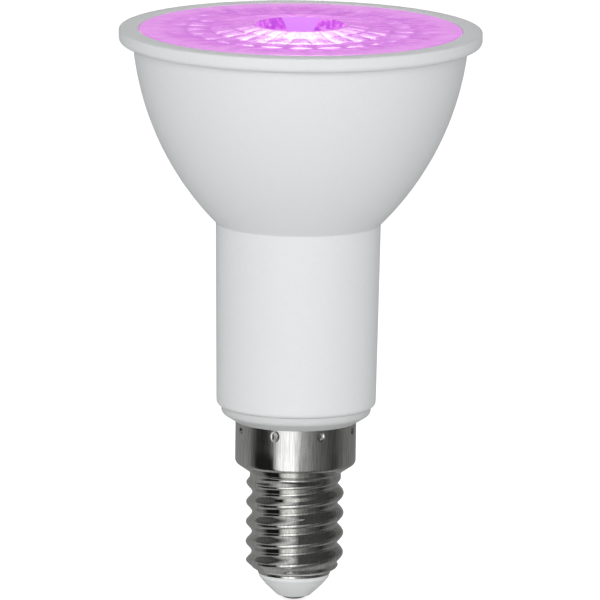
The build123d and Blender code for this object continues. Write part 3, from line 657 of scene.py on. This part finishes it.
def fluted_lens(material):
    """Presses the flutes and rings of pillows into the lens's front, by a rule in angle and radius."""
    tree, start = geometry_tree("Fluted lens front", {
        "Flutes": "NodeSocketFloat", "Flute depth": "NodeSocketFloat", "Rings": "NodeSocketFloat",
        "Ring depth": "NodeSocketFloat", "Acrylic": "NodeSocketMaterial"})
    given = start.outputs
    place = node(tree, "GeometryNodeInputPosition").outputs[0]
    spot = node(tree, "ShaderNodeSeparateXYZ", {0: place})
    x, y = spot.outputs[:2]
    angle = node(tree, "ShaderNodeMath", {0: y, 1: x}, operation="ARCTAN2").outputs[0]
    flat = node(tree, "ShaderNodeVectorMath", {0: place, 1: (1.0, 1.0, 0.0)}, operation="MULTIPLY").outputs[0]
    radius = node(tree, "ShaderNodeVectorMath", {0: flat}, operation="LENGTH").outputs["Value"]
    # Across each flute the front falls away from a ridge, deeper further out
    share = node(tree, "ShaderNodeMath", {0: angle, 1: math.tau}, operation="DIVIDE").outputs[0]
    count = node(tree, "ShaderNodeMath", {0: share, 1: given["Flutes"]}, operation="MULTIPLY").outputs[0]
    aside = node(tree, "ShaderNodeMath", {0: count, 1: 0.5}, operation="PINGPONG").outputs[0]
    sag = node(tree, "ShaderNodeMath", {0: aside, 1: 2.0}, operation="POWER").outputs[0]
    reach = node(tree, "ShaderNodeMath", {0: radius, 1: 4 / (BAND_R * MM)}, operation="MULTIPLY").outputs[0]
    fluted = node(tree, "ShaderNodeMath", {0: sag, 1: given["Flute depth"]}, operation="MULTIPLY").outputs[0]
    # Along each flute the rings part it into pillows, which rise gently and fall away quickly outwards
    along = node(tree, "ShaderNodeMapRange", {"Value": radius, "From Min": LIP_R * MM,
                                              "From Max": BAND_R * MM, "To Max": given["Rings"]}).outputs[0]
    part = node(tree, "ShaderNodeMath", {0: along}, operation="FRACT").outputs[0]
    inner = node(tree, "ShaderNodeMapRange", {"Value": part, "From Min": PILLOW_TOP, "From Max": 0.0,
                                              "To Max": 0.5}).outputs[0]
    outer = node(tree, "ShaderNodeMapRange", {"Value": part, "From Min": PILLOW_TOP,
                                              "To Max": 0.5}).outputs[0]
    between = node(tree, "ShaderNodeMath", {0: inner, 1: outer}, operation="ADD").outputs[0]
    dip = node(tree, "ShaderNodeMath", {0: between, 1: 2.0}, operation="POWER").outputs[0]
    crown = node(tree, "ShaderNodeMapRange", {"Value": sag, "From Max": 0.25, "To Min": 1.0,
                                              "To Max": 0.0}).outputs[0]
    domed = node(tree, "ShaderNodeMath", {0: dip, 1: crown}, operation="MULTIPLY").outputs[0]
    both = node(tree, "ShaderNodeMath", {0: domed, 1: given["Ring depth"], 2: fluted},
                operation="MULTIPLY_ADD").outputs[0]
    pressed = node(tree, "ShaderNodeMath", {0: both, 1: reach}, operation="MULTIPLY").outputs[0]
    # The flutes run out before the plain outer ring
    fade = node(tree, "ShaderNodeMapRange", {"Value": radius, "From Min": BAND_R * MM,
                                             "From Max": (BAND_R - BAND_FADE) * MM},
                interpolation_type="SMOOTHSTEP").outputs[0]
    sunk = node(tree, "ShaderNodeMath", {0: pressed, 1: fade}, operation="MULTIPLY").outputs[0]
    band = node(tree, "GeometryNodeInputNamedAttribute", {"Name": "band"}, data_type="FLOAT").outputs[0]
    shift = node(tree, "ShaderNodeMath", {0: sunk, 1: band}, operation="MULTIPLY").outputs[0]
    down = node(tree, "ShaderNodeVectorMath", {0: (0.0, 0.0, -1.0), "Scale": shift},
                operation="SCALE").outputs[0]
    moved = node(tree, "GeometryNodeSetPosition", {"Geometry": given["Geometry"], "Offset": down}).outputs[0]
    # How deep each spot is pressed, for the painted shade of its pink in the hollows
    hollow = node(tree, "ShaderNodeMapRange", {"Value": shift, "From Max": FLUTE_DEPTH * MM}).outputs[0]
    marked = node(tree, "GeometryNodeStoreNamedAttribute",
                  {"Geometry": moved, "Name": "hollow", "Value": hollow},
                  data_type="FLOAT", domain="POINT").outputs[0]
    finished(tree, marked, given["Acrylic"])
    return baked(lens_blank(), tree, {
        "Flutes": float(FLUTES), "Flute depth": FLUTE_DEPTH * MM, "Rings": float(RINGS),
        "Ring depth": RING_DEPTH * MM, "Acrylic": material})


def studio(material, name, corners):
    """A flat stage piece from its corners in metres."""
    mesh = bpy.data.meshes.new(name)
    mesh.from_pydata(corners, [], [range(len(corners))])
    mesh.materials.append(material)
    made = placed(name, mesh)
    return made


def lit_sheet():
    """A lit white sheet: plain, even brightness."""
    material, tree = bare_material("Glare card")
    light = node(tree, "ShaderNodeEmission", {"Color": WHITE, "Strength": GLARE_STRENGTH})
    node(tree, "ShaderNodeOutputMaterial", {"Surface": light.outputs[0]})
    return material


def dark_felt():
    """Black felt, which keeps some of the light from above off the rim."""
    material, tree = bare_material("Flag felt")
    felt = node(tree, "ShaderNodeBsdfDiffuse", {"Color": (0.01, 0.01, 0.01, 1.0)})
    node(tree, "ShaderNodeOutputMaterial", {"Surface": felt.outputs[0]})
    return material


def floor_finish():
    """Pale paper that glows a little, so that it is white but for the lamp's own shadow."""
    material, tree = bare_material("Floor paper")
    paper = node(tree, "ShaderNodeBsdfDiffuse", {"Color": (0.8, 0.8, 0.8, 1.0)})
    glow = node(tree, "ShaderNodeEmission", {"Color": WHITE, "Strength": FLOOR_GLOW})
    both = node(tree, "ShaderNodeAddShader", {0: paper.outputs[0], 1: glow.outputs[0]})
    seen = node(tree, "ShaderNodeLightPath").outputs["Is Camera Ray"]
    split = node(tree, "ShaderNodeMixShader", {0: seen, 1: paper.outputs[0], 2: both.outputs[0]})
    node(tree, "ShaderNodeOutputMaterial", {"Surface": split.outputs[0]})
    return material


def only_reflected(stage_piece):
    """Lets a stage piece show in polished surfaces and nowhere else."""
    stage_piece.visible_camera = False
    stage_piece.visible_diffuse = False
    stage_piece.visible_shadow = False
    stage_piece.visible_transmission = False


def card_row(tree, share, shades):
    """One row of pale and dark cards round the cap: shades at bearings in degrees, 0 towards the front."""
    cards = node(tree, "ShaderNodeValToRGB", {0: share})
    ramp(cards, [(degrees / 360 + 0.5, (shade, shade, shade, 1.0)) for degrees, shade in shades])
    return cards.outputs[0]


def surroundings():
    """What the polished cap reflects: rows of pale and dark cards round it, from the floor to a dim room."""
    material, tree = bare_material("Studio cards")
    place = node(tree, "ShaderNodeTexCoord").outputs["Object"]
    spot = node(tree, "ShaderNodeSeparateXYZ", {0: place})
    x, y, z = spot.outputs
    behind = node(tree, "ShaderNodeMath", {0: y, 1: -1.0}, operation="MULTIPLY").outputs[0]
    bearing = node(tree, "ShaderNodeMath", {0: x, 1: behind}, operation="ARCTAN2").outputs[0]
    share = node(tree, "ShaderNodeMapRange", {"Value": bearing, "From Min": -math.pi,
                                              "From Max": math.pi}).outputs[0]
    shade = card_row(tree, share, CARD_ROWS[0][1])
    for height, shades in CARD_ROWS[1:]:
        above = node(tree, "ShaderNodeMapRange", {"Value": z, "From Min": height - CARD_BLEND,
                                                  "From Max": height + CARD_BLEND},
                     interpolation_type="SMOOTHSTEP").outputs[0]
        row = card_row(tree, share, shades)
        shade = node(tree, "ShaderNodeMix", {0: above, 6: shade, 7: row}, data_type="RGBA").outputs[2]
    light = node(tree, "ShaderNodeEmission", {"Color": shade, "Strength": CARDS_STRENGTH})
    node(tree, "ShaderNodeOutputMaterial", {"Surface": light.outputs[0]})
    shape = bmesh.new()
    bmesh.ops.create_uvsphere(shape, u_segments=64, v_segments=32, radius=CARDS_R)
    mesh = bpy.data.meshes.new("Studio_cards")
    shape.to_mesh(mesh)
    shape.free()
    mesh.materials.append(material)
    made = placed("Studio_cards", mesh)
    only_reflected(made)


def lamp(name, place, size, power):
    """A square soft light, aimed at the lamp's middle and left out of reflections."""
    data = bpy.data.lights.new(name, "AREA")
    data.size = size
    data.energy = power
    made = placed(name, data)
    made.location = place
    made.rotation_euler = (Vector(MIDDLE) - Vector(place)).to_track_quat("-Z", "Y").to_euler()
    made.visible_glossy = False
    made.visible_camera = False


def world_light():
    """White behind the lamp, and an even soft light all round it."""
    world = bpy.data.worlds.new("Studio")
    bpy.context.scene.world = world
    world.use_nodes = True
    tree = world.node_tree
    tree.nodes.clear()
    seen = node(tree, "ShaderNodeLightPath").outputs["Is Camera Ray"]
    soft = node(tree, "ShaderNodeBackground", {"Color": WHITE, "Strength": WORLD_LEVEL})
    white = node(tree, "ShaderNodeBackground", {"Color": WHITE, "Strength": 1.0})
    split = node(tree, "ShaderNodeMixShader", {0: seen, 1: soft.outputs[0], 2: white.outputs[0]})
    node(tree, "ShaderNodeOutputWorld", {"Surface": split.outputs[0]})


def camera():
    """The photo's own view: far off, a little above the lamp and tilted a touch."""
    data = bpy.data.cameras.new("Camera")
    data.lens = FILM_W * CAMERA_FAR / FRAME_W
    data.sensor_width = FILM_W
    data.clip_end = 20.0
    made = placed("Camera", data)
    rise = math.radians(CAMERA_RISE)
    away = Vector((0, -math.cos(rise), math.sin(rise))) * CAMERA_FAR
    made.location = (Vector(CAMERA_AIM) + away) * MM
    turn = (-away).to_track_quat("-Z", "Y").to_matrix() @ Matrix.Rotation(math.radians(CAMERA_ROLL), 3, "Z")
    made.rotation_euler = turn.to_euler()
    bpy.context.scene.camera = made


# Moulded white plastic: an even, nearly matt white with a faint mottle too fine to count
white_plastic = grained("White plastic, injection moulded", "#E3E5E6", "#E8EAEB", 0.5, 0.42,
                        bump_mm=0.003, gloss=0.1)
# The same on the nose, a little glossier and whiter
nose_plastic = grained("White plastic, moulded round the cap's mouth", "#E5E7E7", "#EBECEC", 0.5, 0.35,
                       bump_mm=0.003, gloss=0.2)
# The same on the collar, duller, and greyer with painted shade: the shade on the collar is painted into its
# colour
collar_plastic_painted_shade = grained("White plastic, moulded duller for the collar", "#D2D4D4", "#D8DADA", 0.5, 0.45,
                         bump_mm=0.003, gloss=0.1)
nickel = drawn_nickel()
acrylic = lit_acrylic()

piece("housing_moulding", housing_mesh(), white_plastic, "housing")
piece("collar", plug_mesh(), collar_plastic_painted_shade, "base_plug")
piece("cap_nose", nose_mesh(), nose_plastic, "cap_insulator")
piece("screw_cap", rolled_cap(nickel), nickel, "cap_shell")
piece("fluted_lens", fluted_lens(acrylic), acrylic, "lens")

# The contact and what the housing hides keep their CAD shapes, and get finishes of their own
INNER = {
    # Metals: soft, slightly uneven mirrors
    "centre_contact": grained("Nickel plate, headed pin", "#6E6E6D", "#8B8B89", 0.4, 0.32, 1.0, 0.004),
    "heat_spreader": grained("Aluminium, pressed", "#B4B6B8", "#C6C8CA", 0.8, 0.38, 1.0, 0.006),
    "board_screws": grained("Zinc-plated steel, turned", "#8F918F", "#A9ABA9", 0.3, 0.3, 1.0, 0.004),
    "header_pins": grained("Brass, drawn square", "#B79A55", "#CDB26E", 0.2, 0.3, 1.0, 0.004),
    # Boards: satin paint over a faint weave or plate
    "led_board": grained("White solder mask on a metal-cored board", "#E4E6E4", "#EFF0EE", 1.2, 0.5, 0.0,
                         0.004),
    "driver_board": grained("Green solder mask on glass fibre", "#1D5B38", "#287049", 0.9, 0.45, 0.0, 0.01),
    # Cast LED resin: smooth and glossy, in the colour of its light
    "red_leds": grained("Red LED resin, cast", "#B02A3C", "#D14458", 0.6, 0.25),
    "blue_leds": grained("Blue LED resin, cast", "#2A3FB0", "#4460D6", 0.6, 0.25),
    # Dipped parts: a thick satin skin
    "fuse_resistor": grained("Sage enamel, dipped", "#7C8F7D", "#90A291", 0.5, 0.4, 0.0, 0.01),
    "film_capacitor": grained("Ochre epoxy, dipped", "#B27A2C", "#C48D3E", 0.7, 0.35, 0.0, 0.01),
    # Shrunk sleeves and wire: smooth satin plastic
    "inductor": grained("Black shrink sleeve", "#1B1B1D", "#2A2A2D", 0.4, 0.5, 0.0, 0.01),
    "bulk_capacitor": grained("Dark sleeve, shrunk on a can", "#1F2A3A", "#2B384B", 0.8, 0.4, 0.0, 0.006),
    "live_lead": grained("Red wire insulation, extruded", "#A3252A", "#B93B3F", 0.6, 0.45, 0.0, 0.006),
    "neutral_lead": grained("Black wire insulation, extruded", "#1D1D1F", "#2B2B2E", 0.6, 0.45, 0.0, 0.006),
    # Moulded and fired parts: dull, with a fine grain
    "bridge_rectifier": grained("Black epoxy, moulded", "#1C1C1C", "#2B2B2B", 0.2, 0.6, 0.0, 0.01),
    "driver_chip": grained("Black epoxy, moulded fine", "#191919", "#272727", 0.15, 0.6, 0.0, 0.01),
    "header_bar": grained("Black nylon, moulded", "#1E1E1F", "#2C2C2E", 0.3, 0.5, 0.0, 0.01),
    "chip_parts": grained("Ceramic chip, fired", "#8A7C6A", "#A29380", 0.25, 0.5, 0.0, 0.004),
}
for name, finish in INNER.items():
    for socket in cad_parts[name].material_slots:
        socket.material = finish

bpy.context.scene.view_settings.view_transform = "Standard"
camera()
world_light()
floor = studio(floor_finish(), "Floor", FLOOR)
floor.visible_glossy = False
surroundings()
# A lit card behind the lamp, for the white fan on the lens
glare = studio(lit_sheet(), "Glare_card", GLARE_CARD)
only_reflected(glare)
flag = studio(dark_felt(), "Overhead_flag", OVERHEAD_FLAG)
flag.visible_camera = False
flag.visible_glossy = False
for name, place, size, power in LAMPS:
    lamp(name, place, size, power)
